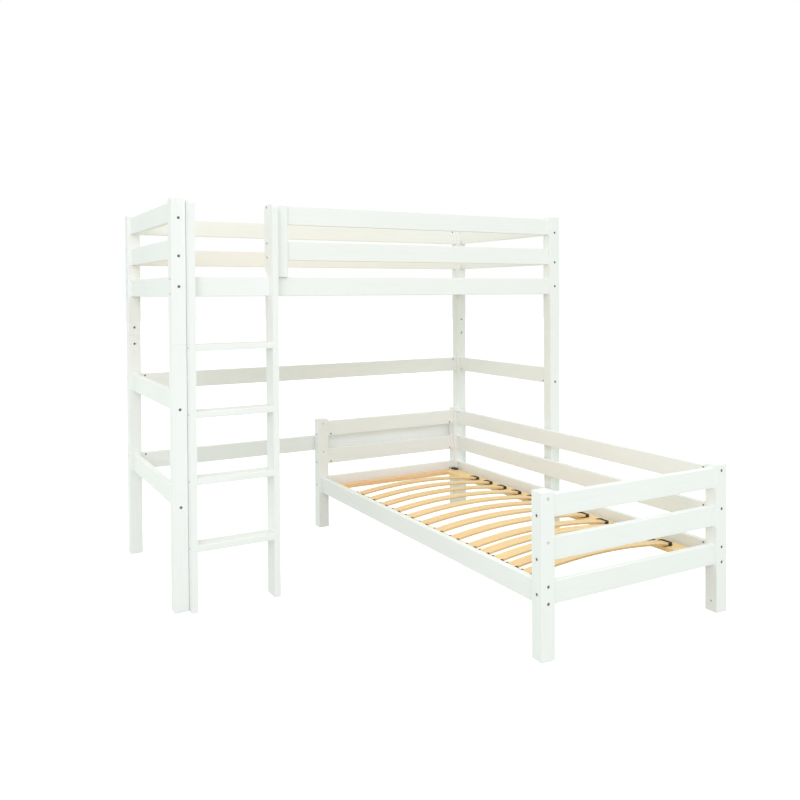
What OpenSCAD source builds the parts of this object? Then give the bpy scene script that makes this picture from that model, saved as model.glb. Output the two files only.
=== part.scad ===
// L shaped bunk bed: a high bed with a ladder, and a free-standing single bed whose head
// stands crosswise under the high bed's right end. Millimetres, +Z up, +Y towards the high
// bed's back, origin on the floor under the middle of the whole plan.

/* [Mattresses] */
// Length of each mattress
mattress_l = 2000; // [1600:10:2200]
// Width of each mattress
mattress_w = 900; // [700:10:1200]
// Free space at each end of a mattress
end_clear = 12; // [5:1:60]
// Free space at each side of a mattress
side_clear = 5; // [2:1:60]

/* [Timber] */
// Side of every square post
post = 62; // [50:1:80]
// Thickness of every board and rail
board_t = 28; // [24:1:40]
// Height of every board and rail
board_h = 86; // [72:1:120]
// Gap between the stacked boards
board_gap = 77; // [50:1:100]
// Rounding along the long edges
edge_r = 3; // [1:0.5:5]
// Bevel around the ends of every post
bevel = 1.5; // [0.5:0.5:3]

/* [High bed] */
// Height of the high bed's posts
high_h = 1778; // [1500:1:2200]
// Drop of its top boards below the post tops
high_drop = 10; // [0:1:40]
// Height of the joint in the two-part posts
post_joint_z = 1150; // [1060:1:1240]
// Underside of the middle boards
middle_z = 861; // [700:1:950]
// Underside of the lower boards
lower_z = 441; // [300:1:560]

/* [Ladder] */
// Clear width between the stringers
ladder_w = 345; // [280:5:450]
// Thickness of a stringer
stringer_t = 28; // [24:1:36]
// How far a stringer stands out in front of the bed rail
stringer_out = 40; // [36:1:70]
// How far a stringer reaches in behind the front face, below the bed rail
stringer_in = 52; // [40:1:60]
// How far its grab rail reaches in behind the front face, above the bed rail
grab_in = 60; // [50:1:110]
// Radius of the grab rail's rounded heel
heel_r = 58; // [20:1:70]
// Gap between the heel and the top of the bed rail
heel_gap = 5; // [2:1:30]
// Rounding of the grab rail's top corners
grab_top_r = 16; // [2:1:24]
// Gap between the left stringer and the post beside it
stringer_gap = 1; // [0:0.5:5]
// Number of treads
tread_count = 4; // [3:1:5]
// How far the top of the bed rail lies above the next even step
rail_over = 4; // [0:1:20]
// Depth of a tread
tread_d = 88; // [70:1:90]
// Thickness of a tread
tread_t = 28; // [22:1:34]
// Depth of the housings that the treads sit in
housing = 8; // [5:1:12]

/* [Single bed] */
// Height of the single bed's posts
single_h = 630; // [520:10:900]
// Drop of its top boards below the post tops
single_drop = 15; // [0:1:40]
// Gap between its head posts and the high bed's back rails
head_gap = 10; // [5:1:60]
// Gap between its right posts and the high bed's right posts
side_gap = 2; // [2:1:60]
// Height of the drilled hole near the foot of its posts
foot_hole_z = 45; // [30:1:120]
// Depth of that hole
foot_hole_depth = 20; // [10:1:30]

/* [Slatted bases] */
// Distance from slat to slat
slat_pitch = 138; // [120:1:180]
// Distance from slat to slat towards the foot
foot_pitch = 100; // [95:1:150]
// Number of gaps of that closer distance
close_gaps = 4; // [1:6]
// Distance of the first slat's middle from the head crossbar
slat_head_gap = 268; // [150:1:300]
// Least gap between the foot crossbar and the slat next to it
slat_foot_gap = 40; // [20:1:90]
// Width of a slat
slat_w = 60; // [50:1:72]
// Thickness of a slat
slat_t = 8; // [6:0.5:10]
// Rise of a slat's middle above its ends
slat_bow = 32; // [15:1:34]
// Depth that a slat holder is let into its beam
holder_sink = 3; // [2:0.5:8]
// Width of a side beam
beam_w = 85; // [80:1:110]
// Width of a crossbar
crossbar_w = 45; // [40:1:60]
// Height of a side beam or crossbar
beam_h = 22; // [20:1:26]
// Width of a ledge
ledge_w = 36; // [30:1:40]
// Height of a ledge
ledge_h = 19; // [15:1:20]
// Play of the base between the posts at each end
base_play = 3; // [1:0.5:6]
// Play of the base at each side, where it lies in the middle
base_side_play = 11; // [9:0.5:15]
// How far the single bed's base lies off the middle, to its left
base_shift = 8; // [0:0.5:8]
// Wall of the plastic slat holders
holder_wall = 2.5; // [2:0.5:4]
// Distance of a slat holder from the outer edge of its beam
holder_in = 40; // [30:1:44]
// Length of a slat holder along its slat
holder_l = 28; // [24:1:36]
// Width of the lip over a slat's edge
holder_lip = 2; // [1:0.5:4]
// Width of the plastic corner blocks
corner_w = 26; // [20:1:40]
// Height of the plastic corner blocks
corner_h = 9; // [5:1:12]

/* [Fasteners] */
// Diameter of a bolt's shank
bolt_d = 6; // [5:1:8]
// Diameter of a bolt's head
bolt_head_d = 12; // [10:1:15]
// Depth of the recess for a bolt's head
bolt_sink = 8; // [6:1:12]
// Distance of a bolt from the edge of a board
bolt_edge = 11; // [10:1:16]
// Diameter of a barrel nut
nut_d = 10; // [9:1:12]
// Length of a barrel nut
nut_l = 18; // [14:1:20]
// Distance of a barrel nut from the end of its board
nut_in = 24; // [20:1:40]
// Distance of the post joint's barrel nuts from the joint
joint_nut_z = 43; // [35:1:55]
// Diameter of a wood screw's shank
screw_d = 4; // [3:0.5:5]
// Length of a wood screw
screw_l = 36; // [30:1:40]

/* [Hidden] */

// Colours
PAINT = [0.95, 0.96, 0.94];
WOOD = [0.90, 0.70, 0.45];
PLASTIC = [0.12, 0.11, 0.10];
STEEL = [0.60, 0.60, 0.58];

// Facets of round parts, and of the circle that a slat is bent to
round_fn = 32;
slat_fn = 1440;
// How far a cutter runs past the face that it cuts
past = 1;

// Boards stand in the middle of the posts. In its own frame a bed lies along X, with its outer
// corner at the origin: the high bed's front left one, the single bed's foot right one.
board_in = (post - board_t) / 2;
board_back = board_in + board_t;
bed_l = mattress_l + 2 * (end_clear + board_back);
bed_w = mattress_w + 2 * (side_clear + board_back);
plan_d = board_back + head_gap + bed_l;
high_x = -bed_l / 2;
high_y = plan_d / 2 - bed_w;
single_x = bed_l / 2 - post - side_gap;
single_y = -plan_d / 2;

// Undersides of the stacked boards: 0 is the bed rail, 1 and 2 the boards above it
board_pitch = board_h + board_gap;
function stack_z(top, i) = top - board_h - (2 - i) * board_pitch;
function guard_z(i) = stack_z(high_h - high_drop, i);
function single_z(i) = stack_z(single_h - single_drop, i);
high_rail_z = guard_z(0);
single_rail_z = single_z(0);

// Bolt heights above a board's underside, for boards along the bed and across it. They
// differ, so that the two bolts of a corner pass each other in the post.
LONG_BOLTS = [board_h - bolt_edge];
RAIL_BOLTS = [bolt_edge, board_h - bolt_edge];
SHORT_BOLTS = [bolt_edge];
END_RAIL_BOLTS = [board_h / 2];
function raised(levels, z) = [for (level = levels) z + level];

// Bores, each a little wider than what it holds
shank_play = 1;
thread_play = 0.2;
nut_play = 0.4;
bolt_bore = bolt_d + shank_play;
head_bore = bolt_head_d + shank_play;
head_l = bolt_sink - 2;
socket_d = 5;
socket_depth = 3;
nut_bore = nut_d + nut_play;
nut_thread = bolt_d + thread_play;
nut_spare = 0.5;
board_nut_depth = board_t / 2 + nut_l / 2 + nut_spare;
post_nut_depth = post / 2 + nut_l / 2 + nut_spare;
bolt_tail = 6;
bolt_bore_spare = 4;
screw_bore = screw_d + thread_play;
screw_head_d = 2 * screw_d;
screw_head_play = 0.1;

// Ladder, in the high bed's frame
stringer_x = [post + stringer_gap, post + stringer_gap + stringer_t + ladder_w];
guard_post_x = stringer_x[1] + stringer_t;
guard_rail_x = guard_post_x + post;
ladder_top = high_h - high_drop;
rail_top = high_rail_z + board_h;
tread_rise = (rail_top - rail_over) / (tread_count + 1);
tread_y = -stringer_out + (stringer_out + stringer_in - tread_d) / 2;
tread_screw_inset = tread_d / 4;
// A bolt's height, moved where needed to clear the treads above and below it
function between_treads(z) =
    let (below = floor(z / tread_rise) * tread_rise)
        max(below + head_bore, min(z, below + tread_rise - tread_t - head_bore));
// Heights of the bolts into the front left post, the guard end post and the bed rail
post_bolt_z = [between_treads(lower_z - board_h), between_treads(middle_z - board_h),
               guard_z(1) + board_h / 2];
guard_bolt_z = guard_z(1) + bolt_edge;
hook_bolt_z = high_rail_z + board_h / 2;

// Slatted base, heights above the bed rail's underside
beam_z = ledge_h;
beam_top = beam_z + beam_h;
lap_z = beam_z + beam_h / 2;
holder_z = beam_top - holder_sink;
holder_floor = 1.5;
slat_play = 0.1;
slat_z = holder_z + holder_floor + slat_play;
base_x = post + base_play;
base_y = board_back + base_side_play;
base_l = bed_l - 2 * base_x;
base_w = bed_w - 2 * base_y;
slat_side_play = 0.5;
slat_end_play = 1;
slat_end_r = 10;
holder_play = 0.3;
holder_w = slat_w + 2 * (slat_side_play + holder_wall);
holder_y = base_y + holder_in;
slat_run = base_l - 2 * crossbar_w - slat_head_gap - slat_foot_gap - holder_w / 2;
wide_gaps = floor((slat_run - close_gaps * foot_pitch) / slat_pitch);
slat_x0 = base_x + base_l - crossbar_w - slat_head_gap;
slat_half = base_w / 2 - holder_in - holder_wall - slat_end_play;
slat_r = (slat_half * slat_half + slat_bow * slat_bow) / (2 * slat_bow);
// A slat climbs inside its holder, which leaves room for that under the lip
slat_climb = holder_l * slat_half / slat_r + 0.3;
lip_t = 1;
cup_h = slat_t + slat_climb;
holder_h = holder_floor + cup_h + lip_t;
peg_d = 8;
peg_l = 8;
peg_clear = 0.3;
peg_spare = 1;
ledge_screws = 5;
ledge_screw_l = ledge_w + board_t / 2;

// Post joint, with the rod on the post's middle line
joint_rod_d = 8;
joint_rod_bore = joint_rod_d + shank_play;
joint_nut_d = 12;
joint_nut_bore = joint_nut_d + nut_play;
joint_nut_l = 20;
joint_rod_tail = 12;

// ---------------------------------------------------------------- places

module in_high_bed() translate([high_x, high_y, 0]) children();

// Turned a quarter, so that the bed's length runs along +Y from foot to head
module in_single_bed() translate([single_x, single_y, 0]) rotate([0, 0, 90]) children();

// A corner's own frame: outer faces at x = 0 and y = 0, the bed on the positive sides
module at_corner(far_end, far_side)
    translate([far_end * bed_l, far_side * bed_w, 0])
        mirror([far_end, 0, 0])
            mirror([0, far_side, 0])
                children();

// A long side's frame: outer face at y = 0
module at_side(far_side)
    translate([0, far_side * bed_w, 0])
        mirror([0, far_side, 0])
            children();

// An end's frame: as a long side's, with the end's outer face at y = 0 and its length on +X
module at_end(far_end)
    translate([far_end * bed_l, 0, 0])
        mirror([far_end, 0, 0])
            mirror([1, -1, 0])
                children();

// Both ends of a board from x0 to x1, each seen with the board on its +X side
module at_both_tips(x0, x1) {
    translate([x0, 0, 0]) children();
    translate([x1, 0, 0]) mirror([1, 0, 0]) children();
}

// ---------------------------------------------------------------- timber

// Section with rounded corners, a by b, first corner at the origin
module rounded_section(a, b, r) {
    translate([r, 0]) square([a - 2 * r, b]);
    translate([0, r]) square([a, b - 2 * r]);
    for (x = [r, a - r], y = [r, b - r])
        translate([x, y]) circle(r = r, $fn = round_fn);
}

// Bar along +X with the section y by z, rounded along its length
module bar_x(l, w, h, r = edge_r)
    rotate([90, 0, 90]) linear_extrude(l) rounded_section(w, h, r);

// Bar standing on z = 0 with the section x by y
module bar_z(w, d, h, r = edge_r)
    linear_extrude(h) rounded_section(w, d, r);

// Cylinder along +X and along +Y
module rod_x(d, l) rotate([0, 90, 0]) cylinder(d = d, h = l, $fn = round_fn);
module rod_y(d, l) rotate([-90, 0, 0]) cylinder(d = d, h = l, $fn = round_fn);

// Way for a bolt that enters at x = 0 and runs along +X: recess and shank bore
module bolt_way(l) {
    translate([-past, 0, 0]) rod_x(head_bore, bolt_sink + past);
    rod_x(bolt_bore, l);
}

// Way for a bolt's end in a board that starts at x = 0, with the barrel nut's bore, which
// opens on the face at y = open_y
module nut_way(open_y, depth) {
    translate([-past, 0, 0]) rod_x(bolt_bore, nut_in + bolt_tail + bolt_bore_spare + past);
    translate([nut_in, open_y + past, 0]) mirror([0, 1, 0]) rod_y(nut_bore, depth + past);
}

// Board along X in a side's frame, with bolt and nut ways at its two tips
module board(x0, x1, z, levels)
    color(PAINT)
        difference() {
            translate([x0, board_in, z]) bar_x(x1 - x0, board_t, board_h);
            at_both_tips(x0, x1)
                for (level = raised(levels, z))
                    translate([0, post / 2, level]) nut_way(board_t / 2, board_nut_depth);
            children();
        }

// Square post standing on z = 0, beveled around both ends
module post_bar(h)
    difference() {
        bar_z(post, post, h);
        end_bevels();
        translate([0, 0, h]) mirror([0, 0, 1]) end_bevels();
    }

// What a bevel takes off the four edges of a post's lower end
module end_bevels()
    for (turn = [0:90:270])
        translate([post / 2, post / 2, 0])
            rotate([0, 0, turn])
                translate([-post / 2 - past, -post / 2, 0])
                    rotate([90, 0, 90])
                        linear_extrude(post + 2 * past)
                            polygon([[-past, bevel + past], [-past, -past], [bevel + past, -past]]);

// Corner post from z0 to z1 in its corner's frame, with the ways of its bolts
module post_piece(z0, z1, long_levels, short_levels)
    color(PAINT)
        difference() {
            translate([0, 0, z0]) post_bar(z1 - z0);
            for (level = long_levels)
                translate([0, post / 2, level]) bolt_way(post + past);
            for (level = short_levels)
                translate([post / 2, 0, level]) mirror([1, -1, 0]) bolt_way(post + past);
            children();
        }

// ---------------------------------------------------------------- fasteners

// Bolt whose head sits in a recess at x = 0 and whose nut is centred at x = reach
module bolt(reach)
    color(STEEL)
        difference() {
            union() {
                translate([bolt_sink - head_l, 0, 0]) rod_x(bolt_head_d, head_l);
                translate([bolt_sink, 0, 0]) rod_x(bolt_d, reach + bolt_tail - bolt_sink);
            }
            translate([bolt_sink - head_l - past, 0, 0])
                rotate([0, 90, 0]) cylinder(d = socket_d, h = socket_depth + past, $fn = 6);
        }

// Barrel nut along Y, centred on its bolt, which passes along X
module barrel_nut(d = nut_d, l = nut_l, thread = nut_thread)
    color(STEEL)
        difference() {
            translate([0, -l / 2, 0]) rod_y(d, l);
            translate([-d, 0, 0]) rod_x(thread, 2 * d);
        }

// Countersunk screw along +X, its head flush at x = 0
module screw(l = screw_l)
    color(STEEL) {
        rotate([0, 90, 0])
            cylinder(d1 = screw_head_d, d2 = screw_d, h = screw_head_d / 2, $fn = round_fn);
        rod_x(screw_d, l);
    }

module screw_way(l = screw_l) {
    translate([-past, 0, 0]) rod_x(screw_bore, l + past + 1);
    translate([-screw_head_play, 0, 0])
        rotate([0, 90, 0])
            cylinder(d1 = screw_head_d + 4 * screw_head_play, d2 = screw_bore,
                     h = screw_head_d / 2 + screw_head_play, $fn = round_fn);
}

// Bolts or barrel nuts of a board whose tips meet the posts' inner faces
module tip_bolts(length, z, levels)
    at_both_tips(0, length)
        for (level = raised(levels, z))
            translate([0, post / 2, level]) bolt(post + nut_in);

module tip_nuts(length, z, levels)
    at_both_tips(post, length - post)
        for (level = raised(levels, z))
            translate([nut_in, post / 2, level]) barrel_nut();

// ---------------------------------------------------------------- high bed: which boards

HIGH_LONG_LEVELS = concat(raised(RAIL_BOLTS, high_rail_z), raised(LONG_BOLTS, guard_z(1)),
                          raised(LONG_BOLTS, guard_z(2)));
HIGH_BACK_LEVELS = concat(HIGH_LONG_LEVELS, raised(LONG_BOLTS, middle_z), raised(LONG_BOLTS, lower_z));
HIGH_SHORT_LEVELS = concat(raised(END_RAIL_BOLTS, high_rail_z), raised(SHORT_BOLTS, guard_z(1)),
                           raised(SHORT_BOLTS, guard_z(2)), raised(SHORT_BOLTS, middle_z));
HIGH_LEFT_LEVELS = concat(HIGH_SHORT_LEVELS, raised(SHORT_BOLTS, lower_z));

function within(levels, z0, z1) = [for (level = levels) if (level > z0 && level < z1) level];

// Rod and barrel nut bores of a post joint, in the corner's frame
module joint_ways() {
    translate([post / 2, post / 2, post_joint_z - joint_nut_z - joint_rod_tail - 2])
        cylinder(d = joint_rod_bore, h = 2 * (joint_nut_z + joint_rod_tail + 2), $fn = round_fn);
    for (side = [-1, 1])
        translate([post / 2, post / 2 - joint_nut_l / 2 - nut_spare, post_joint_z + side * joint_nut_z])
            rod_y(joint_nut_bore, post);
}

module joint_rod()
    color(STEEL)
        translate([post / 2, post / 2, post_joint_z - joint_nut_z - joint_rod_tail])
            cylinder(d = joint_rod_d, h = 2 * (joint_nut_z + joint_rod_tail), $fn = round_fn);

module joint_nuts()
    color(STEEL)
        for (side = [-1, 1])
            translate([post / 2, post / 2, post_joint_z + side * joint_nut_z])
                difference() {
                    translate([0, -joint_nut_l / 2, 0]) rod_y(joint_nut_d, joint_nut_l);
                    translate([0, 0, -joint_nut_d])
                        cylinder(d = joint_rod_d + thread_play, h = 2 * joint_nut_d, $fn = round_fn);
                }

// Lower or upper length of a high post
module high_post(far_end, far_side, upper, long_levels, short_levels) {
    z0 = upper ? post_joint_z : 0;
    z1 = upper ? high_h : post_joint_z;
    in_high_bed()
        at_corner(far_end, far_side)
            post_piece(z0, z1, within(long_levels, z0, z1), within(short_levels, z0, z1)) {
                joint_ways();
                if (far_end == 0 && far_side == 0)
                    for (level = within(post_bolt_z, z0, z1))
                        translate([post, post / 2, level])
                            mirror([1, 0, 0]) nut_way(post / 2, post_nut_depth);
            }
}

FRONT_LEFT_LONG = raised(RAIL_BOLTS, high_rail_z);
module high_post_front_left(upper) high_post(0, 0, upper, FRONT_LEFT_LONG, HIGH_LEFT_LEVELS);
module high_post_front_right(upper) high_post(1, 0, upper, HIGH_LONG_LEVELS, HIGH_SHORT_LEVELS);
module high_post_back_left(upper) high_post(0, 1, upper, HIGH_BACK_LEVELS, HIGH_LEFT_LEVELS);
module high_post_back_right(upper) high_post(1, 1, upper, HIGH_BACK_LEVELS, HIGH_SHORT_LEVELS);

module high_post_front_left_lower() high_post_front_left(false);
module high_post_front_left_upper() high_post_front_left(true);
module high_post_front_right_lower() high_post_front_right(false);
module high_post_front_right_upper() high_post_front_right(true);
module high_post_back_left_lower() high_post_back_left(false);
module high_post_back_left_upper() high_post_back_left(true);
module high_post_back_right_lower() high_post_back_right(false);
module high_post_back_right_upper() high_post_back_right(true);

// Boards between two posts of the high bed
module high_long_board(far_side, z, levels)
    in_high_bed() at_side(far_side) board(post, bed_l - post, z, levels);

module high_short_board(far_end, z, levels)
    in_high_bed() at_end(far_end) board(post, bed_w - post, z, levels);

// Front bed rail, with the ways of the two bolts that hold the ladder's stringers
module high_front_bed_rail()
    in_high_bed()
        difference() {
            side_rail(0, high_rail_z);
            at_hook_bolts() bolt_way(board_t + past);
        }

// Front guard rails, from the guard end post to the right post
module high_front_guard_rail(i)
    in_high_bed() board(guard_rail_x, bed_l - post, guard_z(i), LONG_BOLTS);

module high_front_guard_rail_low() high_front_guard_rail(1);
module high_front_guard_rail_top() high_front_guard_rail(2);
module high_back_bed_rail() in_high_bed() side_rail(1, high_rail_z);
module high_back_guard_rail_low() high_long_board(1, guard_z(1), LONG_BOLTS);
module high_back_guard_rail_top() high_long_board(1, guard_z(2), LONG_BOLTS);
module high_back_middle_rail() high_long_board(1, middle_z, LONG_BOLTS);
module high_back_lower_rail() high_long_board(1, lower_z, LONG_BOLTS);
module high_left_end_rail() high_short_board(0, high_rail_z, END_RAIL_BOLTS);
module high_left_guard_board_low() high_short_board(0, guard_z(1), SHORT_BOLTS);
module high_left_guard_board_top() high_short_board(0, guard_z(2), SHORT_BOLTS);
module high_left_middle_board() high_short_board(0, middle_z, SHORT_BOLTS);
module high_left_lower_board() high_short_board(0, lower_z, SHORT_BOLTS);
module high_right_end_rail() high_short_board(1, high_rail_z, END_RAIL_BOLTS);
module high_right_guard_board_low() high_short_board(1, guard_z(1), SHORT_BOLTS);
module high_right_guard_board_top() high_short_board(1, guard_z(2), SHORT_BOLTS);
module high_right_middle_board() high_short_board(1, middle_z, SHORT_BOLTS);

// ---------------------------------------------------------------- ladder

// Bolts that hold a stringer on the bed rail: heads in the rail's inner face, along -Y
module at_hook_bolts()
    for (x = stringer_x)
        translate([x + stringer_t / 2, board_back, hook_bolt_z]) rotate([0, 0, -90]) children();

// Height of each tread's top
function tread_top(i) = i * tread_rise;

// Side view of a stringer, front edge at y = -stringer_out: a full-depth leg up to the bed
// rail, a neck in front of the rail, and above it a deeper grab rail with a rounded heel
module stringer_outline() {
    heel_y = grab_in - heel_r;
    heel_z = rail_top + heel_gap + heel_r;
    translate([-stringer_out, 0]) square([stringer_out + stringer_in, high_rail_z]);
    translate([-stringer_out, high_rail_z - past])
        square([stringer_out + board_in, heel_z - high_rail_z + past]);
    translate([-stringer_out, heel_z])
        square([stringer_out + grab_in, ladder_top - heel_z - grab_top_r]);
    translate([-stringer_out, ladder_top - 4 * grab_top_r])
        rounded_section(stringer_out + grab_in, 4 * grab_top_r, grab_top_r);
    intersection() {
        translate([heel_y, heel_z]) circle(r = heel_r, $fn = 4 * round_fn);
        translate([board_in - past, rail_top]) square([grab_in, heel_z - rail_top + past]);
    }
}

// Plain stringer with its left face at x
module stringer_blank(x)
    translate([x, 0, 0]) rotate([90, 0, 90]) linear_extrude(stringer_t) stringer_outline();

// Lower front corner of each tread's left end
module at_treads()
    for (i = [1:tread_count])
        translate([stringer_x[0] + stringer_t - housing, tread_y, tread_top(i) - tread_t]) children();

// Square housings of the treads, cut across both inner faces at once
module tread_housings() at_treads() cube([ladder_w + 2 * housing, tread_d, tread_t]);

// Tread screws, two through each stringer's outer face into each end of a tread
module at_tread_screws()
    for (i = [1:tread_count], y = [tread_y + tread_screw_inset, tread_y + tread_d - tread_screw_inset])
        at_both_tips(stringer_x[0], guard_post_x)
            translate([0, y, tread_top(i) - tread_t / 2]) children();

// Barrel nuts of the hook bolts lie along X in the stringers, open on the outer faces
module at_hook_nuts()
    at_both_tips(stringer_x[0], guard_post_x)
        translate([stringer_t / 2, board_in - nut_in, hook_bolt_z]) children();

module hook_ways() {
    at_hook_bolts() rod_x(bolt_bore, board_t + nut_in + bolt_tail + bolt_bore_spare);
    at_hook_nuts()
        translate([-stringer_t / 2 - past, 0, 0])
            rod_x(nut_bore, (stringer_t + nut_l) / 2 + nut_spare + past);
}

// Bolts from the ladder side through the left stringer into the front left post
module at_post_bolts()
    for (level = post_bolt_z)
        translate([stringer_x[0] + stringer_t, post / 2, level]) mirror([1, 0, 0]) children();

// Long bolts through the right stringer and the guard end post into the guard rails
module at_guard_rail_bolts()
    for (i = [1, 2], level = raised(LONG_BOLTS, guard_z(i)))
        translate([stringer_x[1], post / 2, level]) children();

// Bolt through the right stringer into the guard end post alone
module at_guard_post_bolt()
    translate([stringer_x[1], post / 2, guard_bolt_z]) children();

module ladder_stringer_left()
    color(PAINT)
        in_high_bed()
            difference() {
                stringer_blank(stringer_x[0]);
                tread_housings();
                at_tread_screws() screw_way();
                hook_ways();
                at_post_bolts() bolt_way(stringer_t + past);
            }

module ladder_stringer_right()
    color(PAINT)
        in_high_bed()
            difference() {
                stringer_blank(stringer_x[1]);
                tread_housings();
                at_tread_screws() screw_way();
                hook_ways();
                at_guard_rail_bolts() bolt_way(stringer_t + past);
                at_guard_post_bolt() bolt_way(stringer_t + past);
            }

module ladder_treads()
    color(PAINT)
        in_high_bed()
            difference() {
                at_treads() bar_x(ladder_w + 2 * housing, tread_d, tread_t);
                at_tread_screws() screw_way();
            }

// Short post on the bed rail that ends the front guard rails
module guard_end_post()
    color(PAINT)
        in_high_bed()
            difference() {
                translate([guard_post_x, 0, rail_top]) post_bar(ladder_top - rail_top);
                at_guard_rail_bolts() rod_x(bolt_bore, stringer_t + post + past);
                at_guard_post_bolt() translate([stringer_t, 0, 0])
                    nut_way(post / 2, post_nut_depth);
            }

// ---------------------------------------------------------------- slatted bases
// Everything here is in a bed's own frame, and z is that bed's rail underside

// Ledges along both bed rails
module ledges(z)
    color(PAINT)
        for (side = [0, 1])
            at_side(side)
                difference() {
                    translate([base_x, board_back, z]) bar_x(base_l, ledge_w, ledge_h);
                    at_ledge_screws(z) screw_way(ledge_screw_l);
                }

// Screws through a ledge into its rail, along -Y in the side's frame
module at_ledge_screws(z)
    for (i = [0:ledge_screws - 1])
        translate([base_x + base_l * (i + 0.5) / ledge_screws, board_back + ledge_w, z + ledge_h / 2])
            rotate([0, 0, -90]) children();

// Long rail that carries a ledge, with the ways of the ledge's screws
module side_rail(far_side, z)
    at_side(far_side)
        board(post, bed_l - post, z, RAIL_BOLTS)
            at_ledge_screws(z) screw_way(ledge_screw_l);

// Place of each slat, its middle line at x, from the head to the foot
module at_slats() {
    for (i = [0:wide_gaps])
        translate([slat_x0 - i * slat_pitch, 0, 0]) children();
    for (i = [1:close_gaps])
        translate([slat_x0 - wide_gaps * slat_pitch - i * foot_pitch, 0, 0]) children();
}

// Corners of the base, where each crossbar is half-lapped over a beam
module at_base_corners()
    for (end = [0, 1], side = [0, 1])
        at_corner(end, side) translate([base_x, base_y, 0]) children();

// A corner block's peg stands in the middle of it, and a slat holder's in the middle of its own
module at_corner_peg() translate([crossbar_w / 2, corner_w / 2, 0]) children();
module at_holder_peg() translate([0, holder_l / 2, 0]) children();

// Vertical hole for a peg, from z down
module peg_way(l) translate([0, 0, -l]) cylinder(d = peg_d + 2 * peg_clear, h = l + past, $fn = round_fn);

// Beams with the lower halves of the laps at their ends, and a pocket for each slat holder
// that is open towards the middle of the bed
module base_beams(z)
    color(WOOD)
        difference() {
            for (side = [0, 1])
                at_side(side) translate([base_x, base_y, z + beam_z]) bar_x(base_l, beam_w, beam_h);
            for (end = [0, 1])
                at_end(end)
                    translate([0, base_x - past, z + lap_z]) cube([bed_w, crossbar_w + past, beam_h]);
            for (side = [0, 1])
                at_side(side)
                    at_slats() {
                        translate([0, holder_y - holder_play, z + holder_z])
                            linear_extrude(holder_sink + past)
                                strip_end(holder_w + 2 * holder_play, beam_w, slat_end_r + holder_wall);
                        translate([0, holder_y, z + holder_z]) at_holder_peg() peg_way(peg_l + peg_spare);
                    }
            at_base_corners()
                translate([0, 0, z + lap_z]) at_corner_peg() peg_way(peg_l + peg_spare);
        }

// Crossbars with the upper halves of the laps at their tips
module base_crossbars(z)
    color(WOOD)
        difference() {
            for (end = [0, 1])
                at_end(end)
                    translate([base_y, base_x, z + beam_z]) bar_x(base_w, crossbar_w, beam_h);
            for (side = [0, 1])
                at_side(side)
                    translate([0, base_y - past, z + beam_z - past])
                        cube([bed_l, beam_w + past, lap_z - beam_z + past]);
            at_base_corners()
                translate([0, 0, z + beam_top]) at_corner_peg() peg_way(beam_h);
        }

// Strip on plan, its middle line on the Y axis and its outer end at y = 0, both of that end's
// corners rounded
module strip_end(w, l, r) {
    translate([-w / 2, r]) square([w, l - r]);
    translate([r - w / 2, 0]) square([w - 2 * r, r]);
    for (x = [r - w / 2, w / 2 - r])
        translate([x, r]) circle(r = r, $fn = round_fn);
}

// Plan of one slat across the bed
module slat_plan()
    for (side = [0, 1])
        at_side(side) translate([0, bed_w / 2 - slat_half]) strip_end(slat_w, slat_half + past, slat_end_r);

// Side view of a slat, about the middle of the very large circle that it is bent to
module slat_side()
    intersection() {
        difference() {
            circle(r = slat_r + slat_t, $fn = slat_fn);
            circle(r = slat_r, $fn = slat_fn);
        }
        translate([-slat_half - past, slat_r - slat_bow - slat_t])
            square([2 * (slat_half + past), slat_bow + 3 * slat_t]);
    }

// Sprung slat: its side view drawn out along X, cut to its plan, its ends' undersides at z = 0
module slat()
    intersection() {
        translate([-slat_w / 2, bed_w / 2, slat_bow - slat_r])
            rotate([90, 0, 90]) linear_extrude(slat_w) slat_side();
        translate([0, 0, -slat_t]) linear_extrude(slat_bow + 3 * slat_t) slat_plan();
    }

module slats(z)
    color(WOOD)
        at_slats()
            translate([0, 0, z + slat_z]) slat();

// Plastic cup let into a beam that holds a slat's end: floor, three walls with a lip, and a peg
module slat_holder() {
    inner_w = holder_w - 2 * holder_wall;
    at_holder_peg()
        translate([0, 0, -peg_l]) cylinder(d = peg_d, h = peg_l + holder_floor, $fn = round_fn);
    difference() {
        linear_extrude(holder_h) strip_end(holder_w, holder_l, slat_end_r + holder_wall);
        translate([0, holder_wall, holder_floor])
            linear_extrude(cup_h) strip_end(inner_w, holder_l, slat_end_r);
        translate([0, holder_wall + holder_lip, holder_floor])
            linear_extrude(holder_h) strip_end(inner_w - 2 * holder_lip, holder_l, slat_end_r - holder_lip);
    }
}

// Plastic block on a crossbar's tip, whose peg holds the lap together
module corner_block() {
    cube([crossbar_w, corner_w, corner_h]);
    at_corner_peg()
        translate([0, 0, lap_z - beam_top - peg_l])
            cylinder(d = peg_d, h = beam_top - lap_z + peg_l + corner_h / 2, $fn = round_fn);
}

module slat_holders(z)
    color(PLASTIC) {
        for (side = [0, 1])
            at_side(side) at_slats() translate([0, holder_y, z + holder_z]) slat_holder();
        at_base_corners() translate([0, 0, z + beam_top]) corner_block();
    }

// ---------------------------------------------------------------- high bed: base and fasteners

module high_ledges() in_high_bed() ledges(high_rail_z);
module high_base_beams() in_high_bed() base_beams(high_rail_z);
module high_base_crossbars() in_high_bed() base_crossbars(high_rail_z);
module high_slats() in_high_bed() slats(high_rail_z);
module high_slat_holders() in_high_bed() slat_holders(high_rail_z);

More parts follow.
